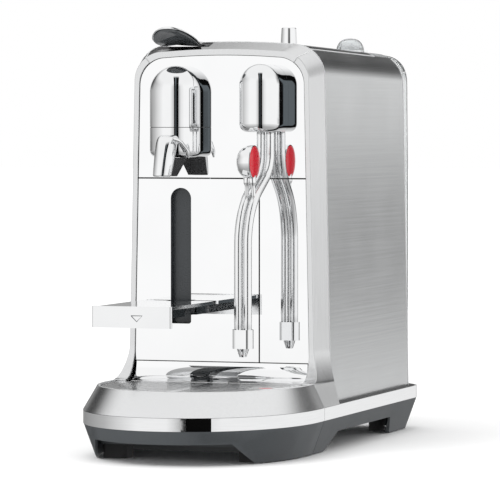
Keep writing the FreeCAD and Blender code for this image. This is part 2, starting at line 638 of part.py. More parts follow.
# ---- Lever -------------------------------------------------------------------------------------
def lever_plan(grow):
    """Plan of the lever: a round scoop that narrows to the arm."""
    scoop = rod((COFFEE_X, SCOOP_Y, 280), (0, 0, 1), SCOOP_RADIUS + grow, 50)
    wide, narrow = SCOOP_RADIUS - 1.2 + grow, 11 + grow
    neck = prism([(COFFEE_X - wide, SCOOP_Y + 6), (COFFEE_X - narrow, -34), (COFFEE_X - narrow, 36),
                  (COFFEE_X + narrow, 36), (COFFEE_X + narrow, -34), (COFFEE_X + wide, SCOOP_Y + 6)],
                 "z", 280, 330)
    return fuse([scoop, neck])


def lever_surface(depth):
    """Domed surface at a depth below the lever's top."""
    rows = []
    for step, z in enumerate(LEVER_TOP):
        rows.append([V(COFFEE_X + x, 40 - LEVER_STEP * step, z - depth - LEVER_DOME * (x / SCOOP_RADIUS) ** 2)
                     for x in (-20, -15, -10, -5, 0, 5, 10, 15, 20)])
    surface = Part.BSplineSurface()
    surface.interpolate(rows)
    return surface.toShape()


def lever_sheet(lower, upper):
    """Sheet of the lever between two depths below its top."""
    return lever_surface(lower).extrude(V(0, 0, lower - upper))


def make_lever_handle():
    y, z = LEVER_PIVOT
    skin = lever_sheet(1.8, 0).common(lever_plan(0))
    knuckle = rod((COFFEE_X - 8, y, z), (1, 0, 0), 5, 16)
    web = block(COFFEE_X - 8, COFFEE_X + 8, y - 4, y + 2, z, 298)
    bore = rod((COFFEE_X - 20, y, z), (1, 0, 0), 2.5 + RUNNING, 40)
    return fuse([skin, knuckle, web]).cut(bore)


def make_lever_insert():
    """Glossy dark underside of the scoop."""
    return lever_sheet(3.4, 1.8).common(lever_plan(-1.5)).common(block(-80, 0, -80, -46, 280, 320))


def make_lever_housing():
    """Black housing under the lever with the capsule slot, the ears and the lever's pin."""
    y, z = LEVER_PIVOT
    tub = block(-52.6, -12.4, PANEL_Y + 6.4, 43.6, 284, 295)
    slope = prism([(PANEL_Y + 6, 291.5), (PANEL_Y + 18, 300), (PANEL_Y + 6, 300)], "x", -60, 0)
    slot = block(COFFEE_X - 15, COFFEE_X + 15, -30, 8, 280, 310)
    room = block(COFFEE_X - 11.6, COFFEE_X + 11.6, y - 26, y + 12, 289, 310)
    pin = rod((COFFEE_X - 14, y, z), (1, 0, 0), 2.5, 28)
    ears = [rod((x, y, z), (1, 0, 0), 4.6, 4) for x in (COFFEE_X - 15.6, COFFEE_X + 11.6)]
    deep = block(COFFEE_X - 11.6, COFFEE_X + 11.6, y - 8, y + 8, 280, 310)
    return fuse([fuse([tub] + ears).cut(slope).cut(slot).cut(room).cut(deep), pin])


# ---- Controls ----------------------------------------------------------------------------------
def top_surface(offset):
    return body_block(BEZEL_EDGE + offset, -40, 60, 240)


def make_display_lens():
    hole = control_holes(0)[0]
    return top_surface(0).cut(top_surface(-1.8)).common(hole)


def make_dial():
    x, y = DIAL
    knob = Part.makeCone(6.0, 5.4, 11.5, V(x, y, 297.5), V(0, 0, 1))
    knob = knob.makeFillet(0.8, [e for e in knob.Edges if e.BoundBox.ZMin > 308.9])
    stem = rod((x, y, 287.5), (0, 0, 1), 3.0, 10.5)
    return fuse([knob, stem])


def make_button(index):
    x = BUTTON_XS[index]
    cap = rod((x, BUTTON_Y, 291.5), (0, 0, 1), BUTTON_RADIUS, 6.4)
    cap = cap.makeFillet(0.6, [e for e in cap.Edges if e.BoundBox.ZMin > 297.8])
    stem = rod((x, BUTTON_Y, 288.6), (0, 0, 1), 1.5, 3)
    return fuse([cap, stem])


def make_control_board():
    board = block(-9, 50, -30, 20, 283, 284.6)
    encoder = block(31.5, 42.5, -12.5, -1.5, 284.6, 287.3)
    screen = block(-7, 23, -27, -7, 284.6, 291)
    switches = [block(x - 2, x + 2, BUTTON_Y - 2, BUTTON_Y + 2, 284.6, 287.4) for x in BUTTON_XS]
    return fuse([board, encoder, screen] + switches)


# ---- Water tank --------------------------------------------------------------------------------
def tank_block(inset, z0, z1):
    """Tank volume: a broad rear part outside the body and a narrower part between the panels."""
    shell = body_block(BEZEL_EDGE - 0.6 - inset, 130, 210, BAND_TOP)
    plan = rounded_plan(-75.5 + inset, 75.5 - inset, 120, HALF_DEPTH - inset, z0, z1, 22 - inset)
    rear = shell.common(plan).common(block(-100, 100, BODY_REAR_Y + 0.7 + inset, 200, z0, z1))
    front = block(-58 + inset, 58 - inset, 135 + inset, BODY_REAR_Y + 8, z0, z1).common(shell)
    return fuse([rear, front])


def make_water_tank():
    outer = tank_block(0, 47.6, 278.6)
    hollow = tank_block(2.4, 50.6, 281)
    outlet = rod((*OUTLET, 44.5), (0, 0, 1), 6.0, 4)
    bore = rod((*OUTLET, 43), (0, 0, 1), 3.6, 10)
    return fuse([outer.cut(hollow), outlet]).cut(bore)


def make_tank_valve():
    """Plunger and strainer over the tank's outlet."""
    plunger = rod((*OUTLET, 45), (0, 0, 1), 3.4, 6)
    strainer = rod((*OUTLET, 50.7), (0, 0, 1), 8, 12)
    return fuse([plunger, strainer])


def make_tank_lid():
    outer = body_block(BEZEL_EDGE, 120, 210, 240).common(block(-61.0, 61.0, 133.8, 176, 279, 320))
    rear = body_block(BEZEL_EDGE - 0.6, 120, 210, 240).common(
        rounded_plan(-75.5, 75.5, 120, HALF_DEPTH, 279, 320, 22)).common(
        block(-90, 90, BODY_REAR_Y + 0.7, 200, 279, 320))
    whole = fuse([outer, rear])
    hollow = body_block(BEZEL_EDGE - 3, 120, 210, 240).common(
        block(-58, 58, 136, HALF_DEPTH - 2.4, 278, 320))
    return fuse([whole.cut(hollow), lid_grip()])


def lid_grip():
    """Ribbed dome that the lid is lifted by."""
    x, y = 32, 164
    dome = rod((x - 11, y, 294), (1, 0, 0), 11, 22)
    keep = body_block(BEZEL_EDGE, 130, 210, 240)
    grip = dome.common(block(0, 60, 140, 190, 285, 305)).cut(keep)
    ribs = [block(x - 11 + 4 * i, x - 9.5 + 4 * i, y - 20, y + 20, 303.6, 306) for i in range(6)]
    return grip.cut(Part.makeCompound(ribs))


# ---- Inside ------------------------------------------------------------------------------------
def make_brew_frame():
    """Cast frame that guides the capsule carriage behind the coffee head."""
    cheeks = [block(x, x + 4, PANEL_Y + 3, 44, 206, 272) for x in (-58, -11)]
    front = block(-58, -7, PANEL_Y + 3, PANEL_Y + 9, 206, 272)
    rear = block(-58, -7, 40, 44, 206, 272)
    port = rod((COFFEE_X, PANEL_Y, 240), (0, 1, 0), 8, 12)
    stem_room = rod((COFFEE_X, 36, 240), (0, 1, 0), 6.5, 12)
    return fuse(cheeks + [front, rear]).cut(port).cut(stem_room)


def make_pierce_plate():
    """Plate with the raised points that pierce the capsule's foil, and its outlet into the head."""
    plate = block(-53.5, -11.5, PANEL_Y + 9.2, PANEL_Y + 13, 216, 264)
    nose = rod((COFFEE_X, PANEL_Y + 2, 240), (0, 1, 0), 7.8, 8)
    points = []
    for row in range(3):
        for column in range(3):
            base = V(COFFEE_X - 8 + 8 * column, PANEL_Y + 13, 232 + 8 * row)
            points.append(Part.makeCone(1.8, 0.3, 2.4, base, V(0, 1, 0)))
    return fuse([plate, nose] + points)


def make_capsule_cage():
    """Carriage with the cup that holds the capsule, and its water stem."""
    carriage = block(-53.5, -11.5, -17, 10, 216, 264)
    cup = Part.makeCone(15.5, 11.5, 24, V(COFFEE_X, -18, 240), V(0, 1, 0))
    stem = rod((COFFEE_X, 9, 240), (0, 1, 0), 6, 12)
    return fuse([carriage, stem]).cut(cup)


def make_pump():
    body = block(10, 46, 58, 96, 46, 84)
    snout = rod((28, 96, 65), (0, 1, 0), 9, 22)
    tail = rod((28, 49, 65), (0, 1, 0), 7, 10)
    return fuse([body, snout, tail])


def make_brew_heater():
    body = rounded_plan(-52, 2, 62, 118, 70, 150, 8)
    ports = [rod((-25, 90, z), (0, 0, 1), 4, 14) for z in (150,)]
    legs = [block(-48, -42, 66, 114, BAND_TOP + 0.1, 70), block(-8, -2, 66, 114, BAND_TOP + 0.1, 70)]
    return fuse([body] + ports + legs)


def make_steam_heater():
    body = rounded_plan(8, 62, 52, 106, 150, 226, 8)
    port = rod((36, 47, 200), (0, 1, 0), 4, 6)
    legs = [block(54, 60, y, y + 6, BAND_TOP + 0.1, 151) for y in (60, 94)]
    return fuse([body, port] + legs)


def make_steam_valve():
    """Solenoid valve with the pipe that leads through the front panel to the wand's head."""
    body = block(24, 48, -38, -10, 196, 222)
    coil = rod((36, -10, 209), (0, 1, 0), 11, 24)
    pipe = bar([(36, -24, 221), (36, -24, 258), (36, PANEL_Y + 0.3, 258)], 12, 3)
    bore = bar([(36, -24, 215), (36, -24, 258), (36, PANEL_Y - 2, 258)], 12, 1.6)
    return fuse([body, coil, pipe]).cut(bore)


def make_main_board():
    board = block(66, 67.6, -20, 60, 70, 190)
    relays = [block(56, 66, y, y + 16, 90, 112) for y in (-12, 12, 36)]
    capacitors = [rod((66, y, 140), (-1, 0, 0), 6, 14) for y in (0, 20)]
    return fuse([board] + relays + capacitors)


def make_power_inlet():
    """Gland for the mains lead, low in the rear of the base."""
    plug = inlet_block(7.6).common(block(0, 90, 150, HALF_DEPTH - 5, 0, 40))
    collar = inlet_block(5.2).common(block(0, 90, 150, HALF_DEPTH - 1, 0, 40))
    return fuse([plug, collar]).cut(inlet_block(3.4))


PARTS = {
    "base_shell": make_base_shell, "foot_pads": make_foot_pads, "base_band": make_base_band,
    "deck": make_deck, "tank_plinth": make_tank_plinth, "power_inlet": make_power_inlet,
    "bezel_top": make_bezel_top, "bezel_left": lambda: bezel_leg(-1), "bezel_right": lambda: bezel_leg(1),
    "side_panel_left": lambda: side_panel(-1), "side_panel_right": lambda: side_panel(1),
    "top_cover": make_top_cover, "upper_panel": make_upper_panel, "lower_panel_right": make_lower_panel_right,
    "bulkhead": make_bulkhead, "coffee_head_cap": make_coffee_head_cap, "coffee_outlet": make_coffee_outlet,
    "coffee_spout": make_coffee_spout, "spout_back": make_spout_back, "wand_head": make_wand_head,
    "wand_barrel": make_wand_barrel, "steam_tube_left": lambda: steam_tube(0),
    "steam_tube_right": lambda: steam_tube(1), "steam_nozzle": make_steam_nozzle, "grip_cup": make_grip_cup,
    "grip_disc": make_grip_disc, "tray_skirt": make_tray_skirt, "tray_band": make_tray_band,
    "indicator_window": make_indicator_window, "tray_ring": make_tray_ring, "tray_basin": make_tray_basin,
    "tray_cove": make_tray_cove, "tray_carrier": make_tray_carrier, "lower_panel_left": make_lower_panel_left,
    "support_recess": make_support_recess,
    "capsule_container": make_capsule_container, "drip_grid": make_drip_grid, "tray_float": make_tray_float,
    "support_plate": make_support_plate, "support_arm": make_support_arm,
    "lever_handle": make_lever_handle, "lever_insert": make_lever_insert,
    "lever_housing": make_lever_housing, "display_lens": make_display_lens, "dial": make_dial,
    "control_board": make_control_board, "water_tank": make_water_tank, "tank_valve": make_tank_valve,
    "tank_lid": make_tank_lid, "brew_frame": make_brew_frame, "pierce_plate": make_pierce_plate,
    "capsule_cage": make_capsule_cage, "pump": make_pump, "brew_heater": make_brew_heater,
    "steam_heater": make_steam_heater, "steam_valve": make_steam_valve, "main_board": make_main_board,
}
for button_index, button_name in enumerate(("milk_button", "start_button", "power_button")):
    PARTS[button_name] = lambda index=button_index: make_button(index)

os.makedirs("parts", exist_ok=True)
for name, make in PARTS.items():
    make().exportStep(os.path.join("parts", name + ".step"))
print("parts:", len(PARTS))
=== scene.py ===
import math

import bmesh
import bpy
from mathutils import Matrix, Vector


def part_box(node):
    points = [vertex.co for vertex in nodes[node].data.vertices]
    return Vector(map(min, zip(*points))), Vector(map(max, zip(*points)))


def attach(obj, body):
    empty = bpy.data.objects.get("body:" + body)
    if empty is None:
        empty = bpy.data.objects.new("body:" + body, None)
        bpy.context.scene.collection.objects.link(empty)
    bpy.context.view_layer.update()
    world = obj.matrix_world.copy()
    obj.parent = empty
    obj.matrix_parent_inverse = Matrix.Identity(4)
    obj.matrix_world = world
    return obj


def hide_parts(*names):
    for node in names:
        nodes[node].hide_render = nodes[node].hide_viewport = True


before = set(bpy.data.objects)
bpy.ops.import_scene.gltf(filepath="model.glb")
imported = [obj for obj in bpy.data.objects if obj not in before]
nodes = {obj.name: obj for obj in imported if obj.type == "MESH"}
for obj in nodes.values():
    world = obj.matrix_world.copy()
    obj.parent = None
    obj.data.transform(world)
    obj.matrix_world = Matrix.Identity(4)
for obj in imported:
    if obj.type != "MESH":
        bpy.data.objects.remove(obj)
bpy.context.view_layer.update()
MM = 0.001
PI = math.pi


# ---- Materials ---------------------------------------------------------------------------------
def surface(name, colour, metallic, rough, grain=(60, 60, 60), tint=0.04, rough_range=0.04, bump=0.05,
            relief=0.00005, coat=0.0, clear=0.0, ior=1.5, wear=0.0, smudge=25.0):
    """Principled surface with grain in its colour, roughness and relief, and a slow roughness drift."""
    m = bpy.data.materials.new(name)
    m.use_nodes = True
    tree = m.node_tree
    shader = tree.nodes["Principled BSDF"]
    shader.inputs["Metallic"].default_value = metallic
    shader.inputs["IOR"].default_value = ior
    shader.inputs["Coat Weight"].default_value = coat
    shader.inputs["Coat Roughness"].default_value = 0.04
    shader.inputs["Transmission Weight"].default_value = clear
    new, link = tree.nodes.new, tree.links.new
    place = new("ShaderNodeTexCoord").outputs["Object"]
    stretch = new("ShaderNodeMapping")
    stretch.inputs["Scale"].default_value = grain
    link(place, stretch.inputs["Vector"])
    fine = new("ShaderNodeTexNoise")
    fine.inputs["Scale"].default_value = 1.0
    fine.inputs["Detail"].default_value = 5.0
    link(stretch.outputs["Vector"], fine.inputs["Vector"])
    slow = new("ShaderNodeTexNoise")
    slow.inputs["Scale"].default_value = smudge
    slow.inputs["Detail"].default_value = 3.0
    link(place, slow.inputs["Vector"])
    ramp = new("ShaderNodeValToRGB")
    ramp.color_ramp.elements[0].position = 0.3
    ramp.color_ramp.elements[1].position = 0.7
    ramp.color_ramp.elements[0].color = [c * (1 - tint) for c in colour] + [1]
    ramp.color_ramp.elements[1].color = [min(1, c * (1 + tint)) for c in colour] + [1]
    link(fine.outputs["Fac"], ramp.inputs["Fac"])
    base = ramp.outputs["Color"]
    if wear:
        edges = new("ShaderNodeMapRange")
        edges.inputs["From Min"].default_value = 0.52
        edges.inputs["From Max"].default_value = 0.62
        edges.inputs["To Max"].default_value = wear
        link(new("ShaderNodeNewGeometry").outputs["Pointiness"], edges.inputs["Value"])
        mix = new("ShaderNodeMix")
        mix.data_type = "RGBA"
        mix.inputs[7].default_value = [min(1, c * 2.2 + 0.05) for c in colour] + [1]
        link(edges.outputs["Result"], mix.inputs[0])
        link(base, mix.inputs[6])
        base = mix.outputs[2]
    link(base, shader.inputs["Base Color"])
    both = new("ShaderNodeMath")
    both.operation = "ADD"
    link(fine.outputs["Fac"], both.inputs[0])
    link(slow.outputs["Fac"], both.inputs[1])
    span = new("ShaderNodeMapRange")
    span.inputs["From Min"].default_value = 0.6
    span.inputs["From Max"].default_value = 1.4
    span.inputs["To Min"].default_value = max(0.0, rough - rough_range)
    span.inputs["To Max"].default_value = rough + rough_range
    link(both.outputs["Value"], span.inputs["Value"])
    link(span.outputs["Result"], shader.inputs["Roughness"])
    if bump:
        lift = new("ShaderNodeBump")
        lift.inputs["Strength"].default_value = bump
        lift.inputs["Distance"].default_value = relief
        link(fine.outputs["Fac"], lift.inputs["Height"])
        link(lift.outputs["Normal"], shader.inputs["Normal"])
    return m


M = {
    "mirror": surface("mirror_steel", (0.95, 0.953, 0.957), 1, 0.012, (30, 30, 30), 0.01, 0.01, 0.0),
    "chrome": surface("chrome", (0.90, 0.905, 0.91), 1, 0.03, (90, 90, 90), 0.015, 0.02, 0.0),
    "tube": surface("chrome_tube", (0.90, 0.905, 0.91), 1, 0.15, (90, 90, 90), 0.015, 0.03, 0.0),
    "side": surface("brushed_side_steel", (0.65, 0.66, 0.665), 1, 0.23, (30, 6, 1500), 0.045, 0.035, 0.10),
    "top": surface("brushed_top_steel", (0.80, 0.815, 0.825), 1, 0.14, (1500, 8, 60), 0.05, 0.05, 0.08),
    "bezel": surface("satin_bezel_steel", (0.76, 0.765, 0.77), 1, 0.22, (500, 500, 40), 0.02, 0.04, 0.08),
    "grid": surface("polished_grid_steel", (0.86, 0.865, 0.87), 1, 0.22, (60, 900, 60), 0.04, 0.05, 0.1),
    "dark": surface("dark_grey_plastic", (0.047, 0.053, 0.058), 0, 0.42, (1500, 1500, 1500), 0.12, 0.06, 0.25,
                    wear=0.2),
    "black": surface("black_plastic", (0.010, 0.010, 0.012), 0, 0.34, (1200, 1200, 1200), 0.15, 0.08, 0.2,
                     wear=0.1),
    "recess": surface("dark_recess_plastic", (0.045, 0.05, 0.055), 0, 0.3, (1200, 1200, 1200), 0.1, 0.06, 0.2),
    "arm": surface("glossy_arm_plastic", (0.03, 0.035, 0.038), 0, 0.12, (400, 400, 400), 0.1, 0.05, 0.05,
                   coat=0.3),
    "gloss": surface("gloss_black", (0.006, 0.006, 0.007), 0, 0.07, (200, 200, 200), 0.2, 0.03, 0.0, coat=0.6),
    "window": surface("matt_black", (0.002, 0.002, 0.002), 0, 0.5, (600, 600, 600), 0.2, 0.05, 0.05, ior=1.1),
    "under": surface("gloss_dark_grey", (0.055, 0.06, 0.064), 0, 0.14, (200, 200, 200), 0.1, 0.05, 0.0,
                     coat=0.5),
    "red": surface("red_gloss", (0.62, 0.003, 0.018), 0, 0.3, (700, 700, 700), 0.03, 0.03, 0.02, coat=0.25),
    "clear": surface("clear_plastic", (0.93, 0.945, 0.95), 0, 0.04, (80, 80, 80), 0.02, 0.03, 0.02, clear=0.88,
                     ior=1.42),
    "grey": surface("grey_plastic", (0.33, 0.34, 0.35), 0, 0.4, (1200, 1200, 1200), 0.06, 0.06, 0.2, wear=0.15),
    "rubber": surface("rubber", (0.02, 0.02, 0.021), 0, 0.75, (900, 900, 900), 0.2, 0.1, 0.4),
    "cast": surface("cast_aluminium", (0.6, 0.605, 0.61), 1, 0.45, (700, 700, 700), 0.08, 0.1, 0.4),
    "board": surface("circuit_board", (0.015, 0.11, 0.05), 0, 0.4, (260, 260, 260), 0.35, 0.1, 0.2),
    "ink": surface("grey_print", (0.12, 0.125, 0.13), 0, 0.5, (900, 900, 900), 0.1, 0.05, 0.1),
    "lip": surface("polished_lip_steel", (0.89, 0.895, 0.90), 1, 0.12, (60, 60, 60), 0.015, 0.03, 0.0),
    "band": surface("polished_band_steel", (0.90, 0.905, 0.91), 1, 0.09, (40, 40, 900), 0.02, 0.03, 0.02),
    "cone": surface("satin_cone_steel", (0.82, 0.825, 0.83), 1, 0.24, (500, 500, 500), 0.015, 0.03, 0.03),
    # Near-white steel for the thin lines along the body's seams: painted highlights in place of the light that
    # the rounded panel edges catch. The rim bead round the drip grid uses it too.
    "edge": surface("edge_highlight_steel", (0.96, 0.965, 0.97), 1, 0.6, (60, 60, 60), 0.01, 0.03, 0.0),
}
LOOK = {
    "base_shell": "dark", "foot_pads": "rubber", "base_band": "band", "deck": "black", "tank_plinth": "side",
    "power_inlet": "black", "bezel_top": "bezel", "bezel_left": "bezel", "bezel_right": "bezel",
    "side_panel_left": "side", "side_panel_right": "side", "top_cover": "top", "upper_panel": "mirror",
    "lower_panel_right": "mirror", "lower_panel_left": "mirror", "bulkhead": "black",
    "coffee_head_cap": "chrome", "coffee_outlet": "chrome", "coffee_spout": "chrome", "spout_back": "black",
    "wand_head": "chrome", "wand_barrel": "chrome", "steam_tube_left": "chrome", "steam_tube_right": "chrome",
    "steam_nozzle": "chrome", "grip_cup": "chrome", "grip_disc": "red", "tray_skirt": "dark",
    "tray_band": "band", "indicator_window": "window", "tray_ring": "cone", "tray_basin": "grey",
    "tray_cove": "mirror", "tray_carrier": "black", "support_recess": "recess", "capsule_container": "black",
    "drip_grid": "grid", "tray_float": "red", "support_plate": "lip", "support_arm": "arm",
    "lever_handle": "chrome", "lever_insert": "under", "lever_housing": "black", "display_lens": "gloss",
    "dial": "chrome", "control_board": "board", "water_tank": "clear", "tank_valve": "grey",
    "tank_lid": "clear", "brew_frame": "cast", "pierce_plate": "chrome", "capsule_cage": "black",
    "pump": "black", "brew_heater": "cast", "steam_heater": "cast", "steam_valve": "cast",
    "main_board": "board", "milk_button": "chrome", "start_button": "chrome", "power_button": "chrome",
}
for node, look in LOOK.items():
    part = nodes[node]
    part.data.materials.clear()
    part.data.materials.append(M[look])


# ---- Building pieces ---------------------------------------------------------------------------
def piece(name, mesh, look, body, replaced=(), bevel=0.0, smooth=2):
    """Object with a finish that rides on a body, and stands for the CAD nodes in replaced."""
    mesh.name = name
    thing = bpy.data.objects.new(name, mesh)
    bpy.context.scene.collection.objects.link(thing)
    mesh.materials.append(M[look])
    for face in mesh.polygons:
        face.use_smooth = True
    if bevel:
        soften = thing.modifiers.new("edges", "BEVEL")
        soften.width = bevel
        soften.segments = 3
        soften.limit_method = "ANGLE"
        soften.angle_limit = math.radians(40)
        soften.harden_normals = True
    if smooth:
        finer = thing.modifiers.new("finer", "SUBSURF")
        finer.levels = finer.render_levels = smooth
    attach(thing, body)
    if replaced:
        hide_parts(*replaced)
    return thing


def loft(rings):
    """Closed mesh through rings of points with the same count."""
    bm = bmesh.new()
    rows = [[bm.verts.new(p) for p in ring] for ring in rings]
    count = len(rings[0])
    for a, b in zip(rows, rows[1:]):
        for i in range(count):
            j = (i + 1) % count
            bm.faces.new((a[i], a[j], b[j], b[i]))
    bm.faces.new(rows[0][::-1])
    bm.faces.new(rows[-1])
    bmesh.ops.recalc_face_normals(bm, faces=bm.faces)
    mesh = bpy.data.meshes.new("loft")
    bm.to_mesh(mesh)
    bm.free()
    return mesh


def lathe(profile, centre, axis="z", count=48):
    """Turned shape: profile of (radius, distance along the axis) from centre."""
    rings = []
    for radius, along in profile:
        ring = []
        for i in range(count):
            a = 2 * PI * i / count
            u, v = radius * math.cos(a), radius * math.sin(a)
            offset = {"x": (along, u, v), "y": (v, along, u), "z": (u, v, along)}[axis]
            ring.append(Vector(centre) + Vector(offset))
        rings.append(ring)
    return loft(rings)


def route(points, bends, step=6):
    """Points along straight runs joined by round bends, one radius for each corner."""
    corners = [Vector(p) for p in points]
    path = [corners[0]]
    for before, corner, after, bend in zip(corners, corners[1:], corners[2:], bends):
        u, w = (before - corner).normalized(), (after - corner).normalized()
        half = u.angle(w) / 2
        reach = min(bend / math.tan(half), 0.48 * min((before - corner).length, (after - corner).length))
        radius = reach * math.tan(half)
        centre = corner + (u + w).normalized() * (radius / math.sin(half))
        a, b = corner + u * reach, corner + w * reach
        for i in range(step + 1):
            path.append(centre + (a - centre).normalized().slerp((b - centre).normalized(), i / step) * radius)
    path.append(corners[-1])
    return path


def pipe(path, radius, count=24):
    """Round tube along a path, with an extra ring close to each end; radius may be a list."""
    radii = list(radius) if isinstance(radius, (list, tuple)) else [radius] * len(path)
    near = radii[0] * 0.12
    path = ([path[0], path[0] + (path[1] - path[0]).normalized() * near] + path[1:-1]
            + [path[-1] + (path[-2] - path[-1]).normalized() * near, path[-1]])
    radii = [radii[0]] + radii + [radii[-1]]
    side = Vector((1, 0, 0))
    rings = []
    for i, p in enumerate(path):
        ahead = (path[min(i + 1, len(path) - 1)] - path[max(i - 1, 0)]).normalized()
        side = (side - ahead * side.dot(ahead)).normalized()
        up = ahead.cross(side)
        rings.append([p + side * radii[i] * math.cos(2 * PI * k / count) +
                      up * radii[i] * math.sin(2 * PI * k / count) for k in range(count)])
    return loft(rings)


def head_plan(x, y, back, radius, z, count=32):
    """Plan of a head: a round front with straight sides back to the panel."""
    ring = [Vector((x + radius, back, z)), Vector((x + radius, (y + back) / 2, z))]
    for i in range(count + 1):
        a = -PI * i / count
        ring.append(Vector((x + radius * math.cos(a), y + radius * math.sin(a), z)))
    return ring + [Vector((x - radius, (y + back) / 2, z)), Vector((x - radius, back, z))]


def head_body(low, high, foot, shrink=0.0):
    """Upright head with a domed top and a rolled lower edge, from its box."""
    x, radius = (low.x + high.x) / 2, (high.x - low.x) / 2
    y = low.y + radius
    crown = high.z - radius
    radius, z0 = radius - shrink, low.z + shrink
    rings = [head_plan(x, y, high.y, radius - foot - 0.004, z0)]
    for i in range(9):
        a = PI / 2 * i / 8
        rings.append(head_plan(x, y, high.y, radius - foot * (1 - math.sin(a)), z0 + foot * (1 - math.cos(a))))
    rings += [head_plan(x, y, high.y, radius, z0 + foot + (crown - z0 - foot) * i / 6) for i in range(1, 7)]
    for i in range(1, 25):
        a = PI / 2 * i / 24.2
        rings.append(head_plan(x, y, high.y, radius * math.cos(a), crown + radius * math.sin(a)))
    return loft(rings)


def cut_level(mesh, z, keep_above):
    """Part of a closed mesh above or below a level plane, closed again at the cut."""
    bm = bmesh.new()
    bm.from_mesh(mesh)
    geometry = bm.verts[:] + bm.edges[:] + bm.faces[:]
    cut = bmesh.ops.bisect_plane(bm, geom=geometry, plane_co=(0, 0, z), plane_no=(0, 0, 1),
                                 clear_inner=keep_above, clear_outer=not keep_above)
    rim = [e for e in cut["geom_cut"] if isinstance(e, bmesh.types.BMEdge)]
    bmesh.ops.holes_fill(bm, edges=rim, sides=0)
    result = bpy.data.meshes.new("cut")
    bm.to_mesh(result)
    bm.free()
    return result


def crisp(thing, degrees=35):
    """Keep edges sharper than an angle sharp in an otherwise smooth piece."""
    thing.data.set_sharp_from_angle(angle=math.radians(degrees))
    return thing


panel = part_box("upper_panel")[0].y


def at(x, y, z):
    """Point in millimetres, with Y counted from the front panel."""
    return Vector((x * MM, panel + y * MM, z * MM))


# ---- Heads -------------------------------------------------------------------------------------
cap_low, cap_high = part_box("coffee_head_cap")
out_low, out_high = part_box("coffee_outlet")
head_low = Vector((cap_low.x, cap_low.y, out_low.z))
seam = (cap_low.z + out_high.z) / 2
whole = head_body(head_low, cap_high, 5 * MM)
crisp(piece("coffee_head_upper", cut_level(whole, seam + 0.2 * MM, True), "chrome", "root",
            ("coffee_head_cap",), smooth=0))
crisp(piece("coffee_head_lower", cut_level(whole, seam - 0.2 * MM, False), "chrome", "root",
            ("coffee_outlet",), smooth=0))
piece("coffee_head_core", head_body(head_low, cap_high, 5 * MM, 0.6 * MM), "black", "root", (),
      smooth=0)

wand_low, wand_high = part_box("wand_head")
crisp(piece("wand_head_shell", head_body(wand_low, wand_high, 6 * MM), "chrome", "root", ("wand_head",),
            smooth=0))


# ---- Spout -------------------------------------------------------------------------------------
def spout_ring(z, x, reach, left, right, depth, count=20):
    """Section of the spout: a round front lip and a flat rear, in millimetres."""
    ring = []
    for i in range(count + 1):
        a = PI + PI * i / count
        half = left if math.cos(a) < 0 else right
        ring.append(at(x + half * math.cos(a), -reach + depth * (1 + math.sin(a)), z))
    return ring + [at(x + right, -reach + depth + 2.5, z), at(x - left, -reach + depth + 2.5, z)]


low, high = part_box("coffee_spout")
spout_x = (low.x + high.x) / 2 / MM
# Sections of the chute: height, reach forward of the panel, half-widths to the left and right, depth.
SPOUT_SECTIONS = (
    (200.1, 46.8, 6.1, 7.4, 6.4), (200.8, 46.9, 6.3, 7.6, 6.6), (207, 45.4, 6.6, 8.2, 7.2),
    (214, 43.2, 6.9, 8.6, 7.6), (220, 40.6, 7.2, 8.8, 7.6), (225, 37.4, 7.6, 8.7, 7.4),
    (228.6, 34.0, 7.4, 8.6, 7.0), (230.6, 31.2, 5.8, 7.0, 5.6))
rings = [spout_ring(z, spout_x, *shape) for z, *shape in SPOUT_SECTIONS]
crisp(piece("spout_chute", loft(rings), "chrome", "root", ("coffee_spout",), smooth=1), 60)
curl = route([at(-25.5, -36, 227.5), at(-20.5, -33, 226), at(-16.4, -28.5, 219), at(-15.6, -27.6, 213.6)],
             (0.007, 0.007), 8)
piece("spout_curl", pipe(curl, [1.5 * MM] * (len(curl) - 1) + [0.6 * MM], 16), "chrome", "root", (),
      smooth=1)


# ---- Steam wand --------------------------------------------------------------------------------
TUBE_RADIUS = 3.15


def wand_route(node):
    """Route of one tube: down from the swivel, forward under the grip, then down to the nozzle."""
    low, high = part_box(node)
    top_x, low_x = high.x / MM - TUBE_RADIUS, low.x / MM + TUBE_RADIUS
    return route([at(top_x, -12.5, 233), at(top_x, -12.5, 205), at(low_x, -54, 176), at(low_x, -54, 86)],
                 (0.024, 0.046), 14)


for node in ("steam_tube_left", "steam_tube_right"):
    piece(node + "_skin", pipe(wand_route(node), TUBE_RADIUS * MM, 32), "tube", "steam_wand", (node,),
          smooth=1)

low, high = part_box("wand_barrel")
swivel = (low + high) / 2
swivel.x = 0
turned = [(0.0004, 0.0302), (0.0029, 0.0302), (0.0034, 0.0308), (0.0034, 0.0452), (0.0029, 0.0458),
          (0.0004, 0.0458)]
crisp(piece("wand_swivel", lathe(turned, swivel, "x", 32), "chrome", "steam_wand", ("wand_barrel",),
            smooth=0), 40)

disc_low, disc_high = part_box("grip_disc")
grip = Vector((0, (disc_low.y + disc_high.y) / 2, (disc_low.z + disc_high.z) / 2))
left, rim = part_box("grip_cup")[0].x, disc_low.x + 2.0 * MM
turned = [(0.0004, left + 0.0001), (0.003, left), (0.0058, left + 0.0004), (0.0084, left + 0.0015),
          (0.0104, left + 0.0034), (0.0117, left + 0.0062), (0.0122, left + 0.0095), (0.0122, rim - 0.0006),
          (0.0120, rim), (0.0117, rim), (0.0116, rim - 0.0006), (0.0115, rim - 0.0024), (0.0004, rim - 0.0024)]
crisp(piece("grip_shell", lathe(turned, grip, "x", 64), "chrome", "steam_wand", ("grip_cup",),
            smooth=1), 50)
face = disc_high.x
turned = [(0.0004, rim - 0.0022), (0.0114, rim - 0.0022), (0.01148, rim - 0.0006), (0.0113, rim + 0.0001),
          (0.0107, rim + 0.0004), (0.009, face - 0.0005), (0.005, face - 0.0001), (0.0004, face)]
piece("grip_face", lathe(turned, grip, "x", 64), "red", "steam_wand", ("grip_disc",), smooth=1)
